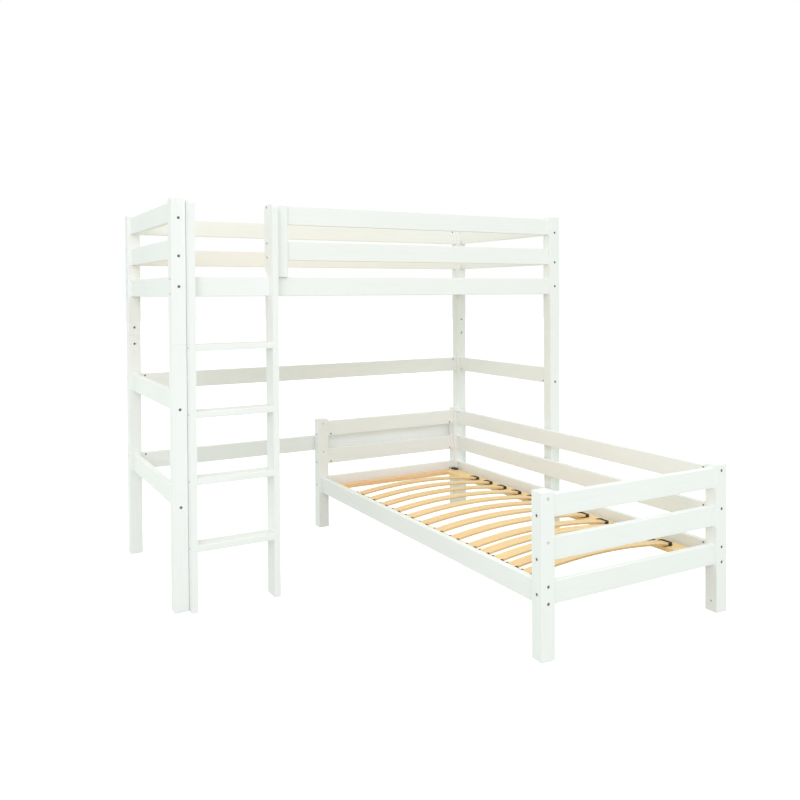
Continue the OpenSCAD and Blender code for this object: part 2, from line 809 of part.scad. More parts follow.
module high_bolts()
    in_high_bed() {
        at_side(0) tip_bolts(bed_l, high_rail_z, RAIL_BOLTS);
        at_side(1) tip_bolts(bed_l, high_rail_z, RAIL_BOLTS);
        at_side(1)
            for (z = [guard_z(1), guard_z(2), middle_z, lower_z])
                tip_bolts(bed_l, z, LONG_BOLTS);
        for (i = [1, 2], level = raised(LONG_BOLTS, guard_z(i)))
            translate([bed_l, post / 2, level]) mirror([1, 0, 0]) bolt(post + nut_in);
        for (end = [0, 1])
            at_end(end) {
                tip_bolts(bed_w, high_rail_z, END_RAIL_BOLTS);
                for (z = [guard_z(1), guard_z(2), middle_z])
                    tip_bolts(bed_w, z, SHORT_BOLTS);
            }
        at_end(0) tip_bolts(bed_w, lower_z, SHORT_BOLTS);
        at_hook_bolts() bolt(board_t + nut_in);
        at_post_bolts() bolt(stringer_t + stringer_gap + nut_in);
        at_guard_rail_bolts() bolt(stringer_t + post + nut_in);
        at_guard_post_bolt() bolt(stringer_t + nut_in);
        for (end = [0, 1], side = [0, 1]) at_corner(end, side) joint_rod();
    }

module high_barrel_nuts()
    in_high_bed() {
        at_side(0) tip_nuts(bed_l, high_rail_z, RAIL_BOLTS);
        at_side(1) tip_nuts(bed_l, high_rail_z, RAIL_BOLTS);
        at_side(1)
            for (z = [guard_z(1), guard_z(2), middle_z, lower_z])
                tip_nuts(bed_l, z, LONG_BOLTS);
        at_both_tips(guard_rail_x, bed_l - post)
            for (i = [1, 2], level = raised(LONG_BOLTS, guard_z(i)))
                translate([nut_in, post / 2, level]) barrel_nut();
        for (end = [0, 1])
            at_end(end) {
                tip_nuts(bed_w, high_rail_z, END_RAIL_BOLTS);
                for (z = [guard_z(1), guard_z(2), middle_z])
                    tip_nuts(bed_w, z, SHORT_BOLTS);
            }
        at_end(0) tip_nuts(bed_w, lower_z, SHORT_BOLTS);
        at_hook_nuts() rotate([0, 0, 90]) barrel_nut();
        for (level = post_bolt_z)
            translate([post - nut_in, post / 2, level]) barrel_nut();
        translate([guard_post_x + nut_in, post / 2, guard_bolt_z]) barrel_nut();
        for (end = [0, 1], side = [0, 1]) at_corner(end, side) joint_nuts();
    }

module high_screws()
    in_high_bed() {
        at_tread_screws() screw();
        for (side = [0, 1]) at_side(side) at_ledge_screws(high_rail_z) screw(ledge_screw_l);
    }

// ---------------------------------------------------------------- single bed

SINGLE_LONG_LEVELS = concat(raised(RAIL_BOLTS, single_rail_z), raised(LONG_BOLTS, single_z(1)),
                            raised(LONG_BOLTS, single_z(2)));
SINGLE_SHORT_LEVELS = concat(raised(END_RAIL_BOLTS, single_rail_z), raised(SHORT_BOLTS, single_z(1)),
                             raised(SHORT_BOLTS, single_z(2)));

// All four posts are drilled alike, so those on the left keep their guard rail holes open
module single_post(far_end, far_side)
    in_single_bed()
        at_corner(far_end, far_side)
            post_piece(0, single_h, SINGLE_LONG_LEVELS, SINGLE_SHORT_LEVELS)
                translate([post / 2, post - foot_hole_depth, foot_hole_z])
                    rod_y(nut_d, foot_hole_depth + past);

module single_post_foot_right() single_post(0, 0);
module single_post_foot_left() single_post(0, 1);
module single_post_head_right() single_post(1, 0);
module single_post_head_left() single_post(1, 1);

module single_guard_rail(i)
    in_single_bed() board(post, bed_l - post, single_z(i), LONG_BOLTS);

module single_short_board(far_end, z, levels)
    in_single_bed() at_end(far_end) board(post, bed_w - post, z, levels);

module single_side_rail_right() in_single_bed() side_rail(0, single_rail_z);
module single_side_rail_left() in_single_bed() side_rail(1, single_rail_z);
module single_guard_rail_low() single_guard_rail(1);
module single_guard_rail_top() single_guard_rail(2);
module single_foot_rail() single_short_board(0, single_rail_z, END_RAIL_BOLTS);
module single_footboard_low() single_short_board(0, single_z(1), SHORT_BOLTS);
module single_footboard_top() single_short_board(0, single_z(2), SHORT_BOLTS);
module single_head_rail() single_short_board(1, single_rail_z, END_RAIL_BOLTS);
module single_headboard_low() single_short_board(1, single_z(1), SHORT_BOLTS);
module single_headboard_top() single_short_board(1, single_z(2), SHORT_BOLTS);

// The base lies loose, and nearer to the left rail
module in_single_base() in_single_bed() translate([0, base_shift, 0]) children();

module single_ledges() in_single_bed() ledges(single_rail_z);
module single_base_beams() in_single_base() base_beams(single_rail_z);
module single_base_crossbars() in_single_base() base_crossbars(single_rail_z);
module single_slats() in_single_base() slats(single_rail_z);
module single_slat_holders() in_single_base() slat_holders(single_rail_z);

module single_bolts()
    in_single_bed() {
        for (side = [0, 1]) at_side(side) tip_bolts(bed_l, single_rail_z, RAIL_BOLTS);
        for (i = [1, 2]) tip_bolts(bed_l, single_z(i), LONG_BOLTS);
        for (end = [0, 1])
            at_end(end) {
                tip_bolts(bed_w, single_rail_z, END_RAIL_BOLTS);
                for (i = [1, 2]) tip_bolts(bed_w, single_z(i), SHORT_BOLTS);
            }
    }

module single_barrel_nuts()
    in_single_bed() {
        for (side = [0, 1]) at_side(side) tip_nuts(bed_l, single_rail_z, RAIL_BOLTS);
        for (i = [1, 2]) tip_nuts(bed_l, single_z(i), LONG_BOLTS);
        for (end = [0, 1])
            at_end(end) {
                tip_nuts(bed_w, single_rail_z, END_RAIL_BOLTS);
                for (i = [1, 2]) tip_nuts(bed_w, single_z(i), SHORT_BOLTS);
            }
    }

module single_screws()
    in_single_bed()
        for (side = [0, 1]) at_side(side) at_ledge_screws(single_rail_z) screw(ledge_screw_l);

// ---------------------------------------------------------------- nodes

high_post_front_left_lower();
high_post_front_left_upper();
high_post_front_right_lower();
high_post_front_right_upper();
high_post_back_left_lower();
high_post_back_left_upper();
high_post_back_right_lower();
high_post_back_right_upper();
high_front_bed_rail();
high_front_guard_rail_low();
high_front_guard_rail_top();
high_back_bed_rail();
high_back_guard_rail_low();
high_back_guard_rail_top();
high_back_middle_rail();
high_back_lower_rail();
high_left_end_rail();
high_left_guard_board_low();
high_left_guard_board_top();
high_left_middle_board();
high_left_lower_board();
high_right_end_rail();
high_right_guard_board_low();
high_right_guard_board_top();
high_right_middle_board();
guard_end_post();
ladder_stringer_left();
ladder_stringer_right();
ladder_treads();
high_ledges();
high_base_beams();
high_base_crossbars();
high_slats();
high_slat_holders();
high_bolts();
high_barrel_nuts();
high_screws();
single_post_foot_left();
single_post_foot_right();
single_post_head_left();
single_post_head_right();
single_side_rail_left();
single_side_rail_right();
single_guard_rail_low();
single_guard_rail_top();
single_foot_rail();
single_footboard_low();
single_footboard_top();
single_head_rail();
single_headboard_low();
single_headboard_top();
single_ledges();
single_bolts();
single_barrel_nuts();
single_screws();
single_base_beams();
single_base_crossbars();
single_slats();
single_slat_holders();
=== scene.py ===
import math

import bmesh
import bpy
from bpy.props import FloatProperty, FloatVectorProperty, PointerProperty
from mathutils import Matrix, Vector

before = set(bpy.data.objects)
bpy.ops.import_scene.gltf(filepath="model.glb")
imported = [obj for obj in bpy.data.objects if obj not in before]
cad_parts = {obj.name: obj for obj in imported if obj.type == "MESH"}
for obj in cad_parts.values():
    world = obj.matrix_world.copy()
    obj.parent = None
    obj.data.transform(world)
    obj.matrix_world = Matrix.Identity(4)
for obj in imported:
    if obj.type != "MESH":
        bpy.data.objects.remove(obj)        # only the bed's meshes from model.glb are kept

bl_info = {
    "name": "L Shaped Bunk Bed Finishes",
    "version": (1, 0, 0),
    "blender": (4, 5, 0),
    "location": "View3D > Sidebar > Bunk Bed",
    "description": "Paints and varnishes an L shaped bunk bed and stands it in a pale studio",
    "category": "Object",
}

# Nodes by the way their grain runs, told by how their names begin
GRAIN_ALONG_X = ("high_front_", "high_back_", "high_ledges", "ladder_treads", "single_foot", "single_head")
GRAIN_ALONG_Y = ("high_left_", "high_right_", "single_side_", "single_guard_", "single_ledges")
GRAIN_ALONG_Z = ("high_post_", "single_post_", "guard_end_post", "ladder_stringer_")
AXES = "XYZ"

# Noise mostly lies in this band. Each finish below stretches its own band of it into a mask.
NOISE_BAND = (0.3, 0.7)
# How rough and how wavy the streaks of grain are
STREAK_ROUGHNESS = 0.55
STREAK_WAVINESS = 0.35

# Paint: painted shade in the hollows along the grain, the faint clouds of random tone over them, and its
# change of roughness
PAINTED_SHADE_BAND = (0.52, 0.74)
PAINTED_SHADE_SHARE = 0.55
PAINT_CLOUD_BAND = (0.35, 0.65)
PAINT_CLOUD_SHARE = 0.35
PAINT_ROUGHNESS_SPAN = (-0.03, 0.04)

# Wood: its figure, and the share of a slat's own tone in it
FIGURE_BAND = (0.32, 0.68)
OWN_TONE_SHARE = 0.45
# Its pores, as parts of the dark tone, and the roughness that they bring
PORE_BAND = (0.60, 0.72)
PORE_SHARE = 0.35
PORE_TONE = 0.72
PORE_ROUGH_BAND = (0.4, 0.7)
WOOD_ROUGHNESS_SPAN = (-0.04, 0.10)
# The glue lines between a slat's veneers, on faces that are turned this far to the side
SIDEWAYS = 0.7
GLUE_BAND = (0.35, 0.65)
GLUE_SHARE = 0.45
GLUE_TONE = 0.55
# The clear coat of varnish
COAT_WEIGHT = 0.12
COAT_ROUGHNESS = 0.3

# Plastic: its lighter scuffs, and its change of roughness
SCUFF_BAND = (0.5, 0.75)
SCUFF_TONE = 2.2
PLASTIC_ROUGHNESS_SPAN = (-0.06, 0.08)

# Zinc: its duller patches, and its change of roughness
DULL_BAND = (0.4, 0.7)
DULL_TONE = 0.7
ZINC_ROUGHNESS_SPAN = (-0.08, 0.12)

# Floor: edges of its disc, and a dry surface
FLOOR_EDGES = 96
FLOOR_ROUGHNESS = 0.9
FLOOR_SHINE = 0.1

WHITE = (1, 1, 1, 1)
SENSOR_WIDTH = 36


# ---------------------------------------------------------------- sizes and colours

class PaintSettings(bpy.types.PropertyGroup):
    """White paint on the posts, boards and ladder"""

    colour: FloatVectorProperty(
        name="Paint", description="Colour of the paint where it lies flat",
        subtype="COLOR", size=4, min=0, max=1, default=(0.912, 0.928, 0.915, 1))
    # Painted shade: a darker, greener paint that the grain's hollows take in place of shade there; the faint
    # clouds of random tone also mix towards it
    hollow_shade_and_cloud: FloatVectorProperty(
        name="Hollows", description="Colour of the paint in the hollows of the grain",
        subtype="COLOR", size=4, min=0, max=1, default=(0.865, 0.885, 0.868, 1))
    roughness: FloatProperty(
        name="Roughness", description="Roughness of the dry paint", min=0, max=1, default=0.42)
    grain_width: FloatProperty(
        name="Grain width", description="Width of a streak of grain under the paint",
        unit="LENGTH", min=0.001, default=0.011)
    grain_length: FloatProperty(
        name="Grain length", description="Length of a streak of grain under the paint",
        unit="LENGTH", min=0.01, default=0.28)
    grain_depth: FloatProperty(
        name="Grain depth", description="Depth of the grain that shows through the paint",
        unit="LENGTH", min=0, default=0.00018)
    cloud_size: FloatProperty(
        name="Cloud size", description="Size of the faint clouds in the paint",
        unit="LENGTH", min=0.01, default=0.45)
    roller_size: FloatProperty(
        name="Roller dimple", description="Size of the dimples that a paint roller leaves",
        unit="LENGTH", min=0.0002, default=0.0016)
    roller_depth: FloatProperty(
        name="Roller depth", description="Depth of the roller's dimples",
        unit="LENGTH", min=0, default=0.00003)


class WoodSettings(bpy.types.PropertyGroup):
    """Clear varnished wood of the slatted bases"""

    slat_light: FloatVectorProperty(
        name="Slat, light", description="Lightest tone of the slats",
        subtype="COLOR", size=4, min=0, max=1, default=(0.95, 0.70, 0.36, 1))
    slat_dark: FloatVectorProperty(
        name="Slat, dark", description="Darkest tone of the slats",
        subtype="COLOR", size=4, min=0, max=1, default=(0.88, 0.56, 0.25, 1))
    beam_light: FloatVectorProperty(
        name="Beam, light", description="Lightest tone of the side beams",
        subtype="COLOR", size=4, min=0, max=1, default=(1.0, 0.76, 0.37, 1))
    beam_dark: FloatVectorProperty(
        name="Beam, dark", description="Darkest tone of the side beams",
        subtype="COLOR", size=4, min=0, max=1, default=(0.97, 0.64, 0.27, 1))
    crossbar_light: FloatVectorProperty(
        name="Crossbar, light", description="Lightest tone of the crossbars, which are redder",
        subtype="COLOR", size=4, min=0, max=1, default=(1.0, 0.68, 0.35, 1))
    crossbar_dark: FloatVectorProperty(
        name="Crossbar, dark", description="Darkest tone of the crossbars",
        subtype="COLOR", size=4, min=0, max=1, default=(0.95, 0.53, 0.25, 1))
    figure_width: FloatProperty(
        name="Figure width", description="Width of a band of grain",
        unit="LENGTH", min=0.001, default=0.009)
    figure_length: FloatProperty(
        name="Figure length", description="Length of a band of grain",
        unit="LENGTH", min=0.01, default=0.35)
    pore_width: FloatProperty(
        name="Pore width", description="Width of a single pore line",
        unit="LENGTH", min=0.0001, default=0.0012)
    pore_length: FloatProperty(
        name="Pore length", description="Length of a single pore line",
        unit="LENGTH", min=0.001, default=0.022)
    pore_depth: FloatProperty(
        name="Pore depth", description="Depth of a pore line under the varnish",
        unit="LENGTH", min=0, default=0.00006)
    tone_length: FloatProperty(
        name="Tone length", description="Distance over which the tone changes from slat to slat",
        unit="LENGTH", min=0.05, default=0.18)
    veneer: FloatProperty(
        name="Veneer", description="Thickness of the veneers that show on a slat's edges",
        unit="LENGTH", min=0.0005, default=0.0016)
    roughness: FloatProperty(
        name="Roughness", description="Roughness of the varnish", min=0, max=1, default=0.38)


class HardwareSettings(bpy.types.PropertyGroup):
    """Black plastic of the slat holders and zinc on the steel fasteners"""

    plastic: FloatVectorProperty(
        name="Plastic", description="Colour of the slat holders and corner blocks",
        subtype="COLOR", size=4, min=0, max=1, default=(0.018, 0.016, 0.014, 1))
    plastic_roughness: FloatProperty(
        name="Plastic roughness", description="Roughness of the moulded plastic",
        min=0, max=1, default=0.5)
    plastic_grain: FloatProperty(
        name="Mould grain", description="Size of the mould's fine grain on the plastic",
        unit="LENGTH", min=0.0001, default=0.0006)
    plastic_depth: FloatProperty(
        name="Mould depth", description="Depth of the mould's fine grain",
        unit="LENGTH", min=0, default=0.00002)
    scuff_size: FloatProperty(
        name="Scuff size", description="Size of the lighter patches on the plastic",
        unit="LENGTH", min=0.001, default=0.03)
    zinc: FloatVectorProperty(
        name="Zinc", description="Colour of the zinc plating",
        subtype="COLOR", size=4, min=0, max=1, default=(0.20, 0.20, 0.195, 1))
    zinc_roughness: FloatProperty(
        name="Zinc roughness", description="Roughness of the zinc plating",
        min=0, max=1, default=0.38)
    spangle: FloatProperty(
        name="Spangle", description="Size of the cloudy patches in the zinc",
        unit="LENGTH", min=0.0005, default=0.003)


class StageSettings(bpy.types.PropertyGroup):
    """Floor, light and camera"""

    floor_radius: FloatProperty(
        name="Floor radius", description="Radius of the round floor", unit="LENGTH", min=5, default=40)
    floor_colour: FloatVectorProperty(
        name="Floor", description="Colour of the floor",
        subtype="COLOR", size=4, min=0, max=1, default=(0.50, 0.53, 0.49, 1))
    floor_glow: FloatProperty(
        name="Floor glow", description="What the camera sees added to the floor, to make it white",
        min=0, max=1, default=0.78)
    sky_high: FloatProperty(
        name="Sky overhead", description="Strength of the soft light from straight above",
        min=0, default=1.25)
    sky_low: FloatProperty(
        name="Sky at the sides", description="Strength of the soft light from the horizon",
        min=0, default=0.82)
    sky_colour: FloatVectorProperty(
        name="Sky colour", description="Colour of the soft light, which tints the shaded faces",
        subtype="COLOR", size=4, min=0, max=1, default=(0.925, 1.0, 0.94, 1))
    key_power: FloatProperty(
        name="Key light", description="Power of the large soft lamp at the front", unit="POWER",
        min=0, default=270)
    key_colour: FloatVectorProperty(
        name="Key colour", description="Colour of the key lamp",
        subtype="COLOR", size=3, min=0, max=1, default=(1.0, 0.82, 0.985))
    key_size: FloatProperty(
        name="Key size", description="Side of the square key lamp", unit="LENGTH", min=0.1, default=5)
    key_place: FloatVectorProperty(
        name="Key place", description="Where the key lamp hangs", subtype="TRANSLATION",
        unit="LENGTH", size=3, default=(-5.2, -7.6, 4.8))
    key_aim: FloatVectorProperty(
        name="Key aim", description="What the key lamp points at", subtype="TRANSLATION",
        unit="LENGTH", size=3, default=(0.1, -0.1, 0.7))
    camera_place: FloatVectorProperty(
        name="Camera place", description="Where the camera stands", subtype="TRANSLATION",
        unit="LENGTH", size=3, default=(-1.9089, -3.4613, 1.3663))
    camera_heading: FloatProperty(
        name="Heading", description="Turn of the view from +Y towards +X",
        subtype="ANGLE", default=math.radians(29.803))
    camera_tilt: FloatProperty(
        name="Tilt", description="Tilt of the view above the horizon",
        subtype="ANGLE", default=math.radians(-0.792))
    camera_roll: FloatProperty(
        name="Roll", description="Roll of the camera about its line of view",
        subtype="ANGLE", default=math.radians(-0.33))
    camera_lens: FloatProperty(
        name="Lens", description="Focal length on a sensor 36 mm wide, in millimetres",
        min=1, default=37.06)
    camera_shift: FloatVectorProperty(
        name="Shift", description="Sideways and upward shift of the picture, as shares of its width",
        size=2, default=(-0.0156, -0.1196))


# ---------------------------------------------------------------- shader building

def add(tree, kind, inputs=None, **settings):
    """A shader node of that kind, with its settings, and its sockets linked or given values."""
    made = tree.nodes.new(kind)
    for name, value in settings.items():
        setattr(made, name, value)
    for socket, value in (inputs or {}).items():
        feed(tree, made.inputs[socket], value)
    return made


def feed(tree, socket, value):
    """Links a socket to another one, or gives it a value."""
    if isinstance(value, bpy.types.NodeSocket):
        tree.links.new(value, socket)
    else:
        socket.default_value = value


def math_node(tree, operation, *values):
    """The result of one sum on up to three numbers or sockets."""
    return add(tree, "ShaderNodeMath", dict(enumerate(values)), operation=operation).outputs[0]


def new_material(name):
    """An empty material with its main shader."""
    material = bpy.data.materials.new(name)
    material.use_nodes = True
    tree = material.node_tree
    return material, tree, tree.nodes["Principled BSDF"]


def object_place(tree):
    """Place on the object, in metres."""
    return add(tree, "ShaderNodeTexCoord").outputs["Object"]


def sky_direction(tree):
    """Direction in which a ray leaves for the sky."""
    return add(tree, "ShaderNodeTexCoord").outputs["Generated"]


def streaks(tree, place, axis, width, length, detail, seed):
    """Noise drawn out along an axis, from streaks of that width and length."""
    scale = [1 / width] * 3
    scale[axis] = 1 / length
    stretched = add(tree, "ShaderNodeMapping", {"Vector": place, "Scale": scale}).outputs[0]
    return add(tree, "ShaderNodeTexNoise",
               {"Vector": stretched, "W": seed, "Scale": 1.0, "Detail": detail,
                "Roughness": STREAK_ROUGHNESS, "Distortion": STREAK_WAVINESS},
               noise_dimensions="4D").outputs["Fac"]


def grains(tree, place, size, detail=2.0):
    """Even noise with grains of that size."""
    return add(tree, "ShaderNodeTexNoise",
               {"Vector": place, "Scale": 1 / size, "Detail": detail}).outputs["Fac"]


def spread(tree, value, band, to_low=0.0, to_high=1.0):
    """A value stretched from a band to a new range, and held inside it."""
    return add(tree, "ShaderNodeMapRange",
               {"Value": value, "From Min": band[0], "From Max": band[1],
                "To Min": to_low, "To Max": to_high},
               clamp=True).outputs["Result"]


def varied(tree, value, middle, span, band=NOISE_BAND):
    """A number that a noise moves up and down within a span around its middle."""
    return spread(tree, value, band, middle + span[0], middle + span[1])


def mixed(tree, share, first, second):
    """Two colours mixed by a share, through the colour sockets of a mix node."""
    made = add(tree, "ShaderNodeMix", {"Factor": share, 6: first, 7: second}, data_type="RGBA")
    return made.outputs[2]


def toned(colour, tone):
    """A colour made that many times as bright, and opaque."""
    return [tone * part for part in colour[:3]] + [1]


def bump(tree, height, depth, under=None):
    """A bump of that depth in metres, on top of another bump if one is given."""
    inputs = {"Height": height, "Distance": depth, "Strength": 1.0}
    if under is not None:
        inputs["Normal"] = under
    return add(tree, "ShaderNodeBump", inputs).outputs["Normal"]


def seen_directly(tree):
    """1 where the camera, a reflection or a clear piece looks, and 0 where light is only bounced."""
    path = add(tree, "ShaderNodeLightPath").outputs
    seen = math_node(tree, "MAXIMUM", path["Is Camera Ray"], path["Is Glossy Ray"])
    return math_node(tree, "MAXIMUM", seen, path["Is Transmission Ray"])


# ---------------------------------------------------------------- finishes

def white_paint(axis, paint):
    """Rolled white paint over timber whose grain runs along an axis and still shows faintly. The grain's
    hollows carry painted shade, a darker and greener paint, and faint clouds of random tone mix towards it
    too.
    """
    material, tree, shader = new_material("white_paint_" + AXES[axis].lower())
    place = object_place(tree)
    grain = streaks(tree, place, axis, paint.grain_width, paint.grain_length, detail=4.0, seed=axis)
    cloud = grains(tree, place, paint.cloud_size)
    dimple = grains(tree, place, paint.roller_size)
    # painted shade along the grain's hollows, then faint clouds of random tone, both towards the darker
    # greener paint
    hollow_shade_and_cloud = spread(tree, grain, PAINTED_SHADE_BAND, 0.0, PAINTED_SHADE_SHARE)
    tone = math_node(tree, "MULTIPLY_ADD", spread(tree, cloud, PAINT_CLOUD_BAND), PAINT_CLOUD_SHARE, hollow_shade_and_cloud)
    feed(tree, shader.inputs["Base Color"], mixed(tree, tone, list(paint.colour), list(paint.hollow_shade_and_cloud)))
    feed(tree, shader.inputs["Roughness"], varied(tree, cloud, paint.roughness, PAINT_ROUGHNESS_SPAN))
    relief = bump(tree, grain, paint.grain_depth)
    feed(tree, shader.inputs["Normal"], bump(tree, dimple, paint.roller_depth, relief))
    return material


def varnished_wood(name, axis, light, dark, wood, array=None):
    """Clear varnished wood with its grain along an axis. On slats, which follow each other along
    the array axis, the tone changes from slat to slat and the edges show their veneers."""
    material, tree, shader = new_material(name)
    place = object_place(tree)
    split = add(tree, "ShaderNodeSeparateXYZ", {"Vector": place}).outputs
    figure = streaks(tree, place, axis, wood.figure_width, wood.figure_length, detail=5.0, seed=3.0)
    pores = streaks(tree, place, axis, wood.pore_width, wood.pore_length, detail=2.0, seed=7.0)
    tone = spread(tree, figure, FIGURE_BAND)
    if array is not None:
        tone = with_own_tone(tree, tone, split[array], wood)
    colour = mixed(tree, tone, list(dark), list(light))
    colour = mixed(tree, spread(tree, pores, PORE_BAND, 0.0, PORE_SHARE), colour, toned(dark, PORE_TONE))
    if array is not None:
        colour = mixed(tree, glue_lines(tree, split[2], array, wood), colour, toned(dark, GLUE_TONE))
    feed(tree, shader.inputs["Base Color"], colour)
    feed(tree, shader.inputs["Roughness"],
         varied(tree, pores, wood.roughness, WOOD_ROUGHNESS_SPAN, PORE_ROUGH_BAND))
    shader.inputs["Coat Weight"].default_value = COAT_WEIGHT
    shader.inputs["Coat Roughness"].default_value = COAT_ROUGHNESS
    feed(tree, shader.inputs["Normal"], bump(tree, pores, wood.pore_depth))
    return material


def with_own_tone(tree, tone, along, wood):
    """A slat's tone, moved lighter or darker by its place along the row of slats."""
    own = add(tree, "ShaderNodeTexNoise",
              {"W": along, "Scale": 1 / wood.tone_length, "Detail": 0.0},
              noise_dimensions="1D").outputs["Fac"]
    return math_node(tree, "MULTIPLY_ADD", tone, 1 - OWN_TONE_SHARE,
                     math_node(tree, "MULTIPLY", spread(tree, own, NOISE_BAND), OWN_TONE_SHARE))


def glue_lines(tree, height, array, wood):
    """Where glue shows between the veneers, on a slat's long edges."""
    facing = add(tree, "ShaderNodeSeparateXYZ",
                 {"Vector": add(tree, "ShaderNodeNewGeometry").outputs["Normal"]}).outputs
    sideways = math_node(tree, "GREATER_THAN", math_node(tree, "ABSOLUTE", facing[array]), SIDEWAYS)
    layer = math_node(tree, "PINGPONG", height, wood.veneer)
    stripe = spread(tree, math_node(tree, "DIVIDE", layer, wood.veneer), GLUE_BAND)
    return math_node(tree, "MULTIPLY", math_node(tree, "MULTIPLY", sideways, stripe), GLUE_SHARE)


def black_plastic(hardware):
    """Moulded black plastic with the fine grain of its mould."""
    material, tree, shader = new_material("black_plastic")
    place = object_place(tree)
    grain = grains(tree, place, hardware.plastic_grain)
    scuffs = spread(tree, grains(tree, place, hardware.scuff_size), SCUFF_BAND)
    plain = list(hardware.plastic)
    feed(tree, shader.inputs["Base Color"], mixed(tree, scuffs, plain, toned(plain, SCUFF_TONE)))
    feed(tree, shader.inputs["Roughness"],
         varied(tree, grain, hardware.plastic_roughness, PLASTIC_ROUGHNESS_SPAN))
    feed(tree, shader.inputs["Normal"], bump(tree, grain, hardware.plastic_depth))
    return material


def zinc_steel(hardware):
    """Bright zinc plating with cloudy patches."""
    material, tree, shader = new_material("zinc_steel")
    cloud = grains(tree, object_place(tree), hardware.spangle, detail=4.0)
    bright = list(hardware.zinc)
    feed(tree, shader.inputs["Base Color"],
         mixed(tree, spread(tree, cloud, DULL_BAND), bright, toned(bright, DULL_TONE)))
    feed(tree, shader.inputs["Roughness"],
         varied(tree, cloud, hardware.zinc_roughness, ZINC_ROUGHNESS_SPAN))
    shader.inputs["Metallic"].default_value = 1.0
    return material


def give(nodes, material):
    """Puts one material on every slot of these nodes."""
    for name in nodes:
        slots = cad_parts[name].data.materials
        slots.clear()
        slots.append(material)


def nodes_named(*begins):
    """Nodes whose names begin in one of these ways."""
    found = [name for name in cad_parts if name.startswith(begins)]
    if not found:
        raise RuntimeError(f"no node's name begins with {begins}")
    return found


# ---------------------------------------------------------------- operators

class BUNKBED_OT_paint_posts(bpy.types.Operator):
    """Paint the posts and the ladder's stringers, with upright grain"""

    bl_idname = "bunkbed.paint_posts"
    bl_label = "Paint Posts"

    def execute(self, context):
        give(nodes_named(*GRAIN_ALONG_Z), white_paint(2, context.scene.bunkbed_paint))
        return {"FINISHED"}


class BUNKBED_OT_paint_long_boards(bpy.types.Operator):
    """Paint the boards and treads that run along the high bed"""

    bl_idname = "bunkbed.paint_long_boards"
    bl_label = "Paint Boards Along X"

    def execute(self, context):
        give(nodes_named(*GRAIN_ALONG_X), white_paint(0, context.scene.bunkbed_paint))
        return {"FINISHED"}


class BUNKBED_OT_paint_cross_boards(bpy.types.Operator):
    """Paint the boards that run along the single bed"""

    bl_idname = "bunkbed.paint_cross_boards"
    bl_label = "Paint Boards Along Y"

    def execute(self, context):
        give(nodes_named(*GRAIN_ALONG_Y), white_paint(1, context.scene.bunkbed_paint))
        return {"FINISHED"}


class BUNKBED_OT_varnish_slats(bpy.types.Operator):
    """Varnish the sprung slats, whose grain runs across each bed"""

    bl_idname = "bunkbed.varnish_slats"
    bl_label = "Varnish Slats"

    def execute(self, context):
        wood = context.scene.bunkbed_wood
        for node, axis in (("high_slats", 1), ("single_slats", 0)):
            give([node], varnished_wood("varnished_" + node, axis, wood.slat_light, wood.slat_dark,
                                        wood, array=1 - axis))
        return {"FINISHED"}


class BUNKBED_OT_varnish_frames(bpy.types.Operator):
    """Varnish the side beams and crossbars of the slatted bases"""

    bl_idname = "bunkbed.varnish_frames"
    bl_label = "Varnish Base Frames"

    def execute(self, context):
        wood = context.scene.bunkbed_wood
        for bed, along in (("high", 0), ("single", 1)):
            beams, crossbars = bed + "_base_beams", bed + "_base_crossbars"
            give([beams], varnished_wood("varnished_" + beams, along, wood.beam_light, wood.beam_dark, wood))
            give([crossbars], varnished_wood("varnished_" + crossbars, 1 - along,
                                             wood.crossbar_light, wood.crossbar_dark, wood))
        return {"FINISHED"}


class BUNKBED_OT_finish_holders(bpy.types.Operator):
    """Give the slat holders and corner blocks their moulded plastic"""

    bl_idname = "bunkbed.finish_holders"
    bl_label = "Finish Slat Holders"

    def execute(self, context):
        give(("high_slat_holders", "single_slat_holders"), black_plastic(context.scene.bunkbed_hardware))
        return {"FINISHED"}


class BUNKBED_OT_finish_fasteners(bpy.types.Operator):
    """Plate the bolts, barrel nuts and screws with zinc"""

    bl_idname = "bunkbed.finish_fasteners"
    bl_label = "Finish Fasteners"

    def execute(self, context):
        fasteners = [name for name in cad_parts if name.endswith(("_bolts", "_nuts", "_screws"))]
        give(fasteners, zinc_steel(context.scene.bunkbed_hardware))
        return {"FINISHED"}


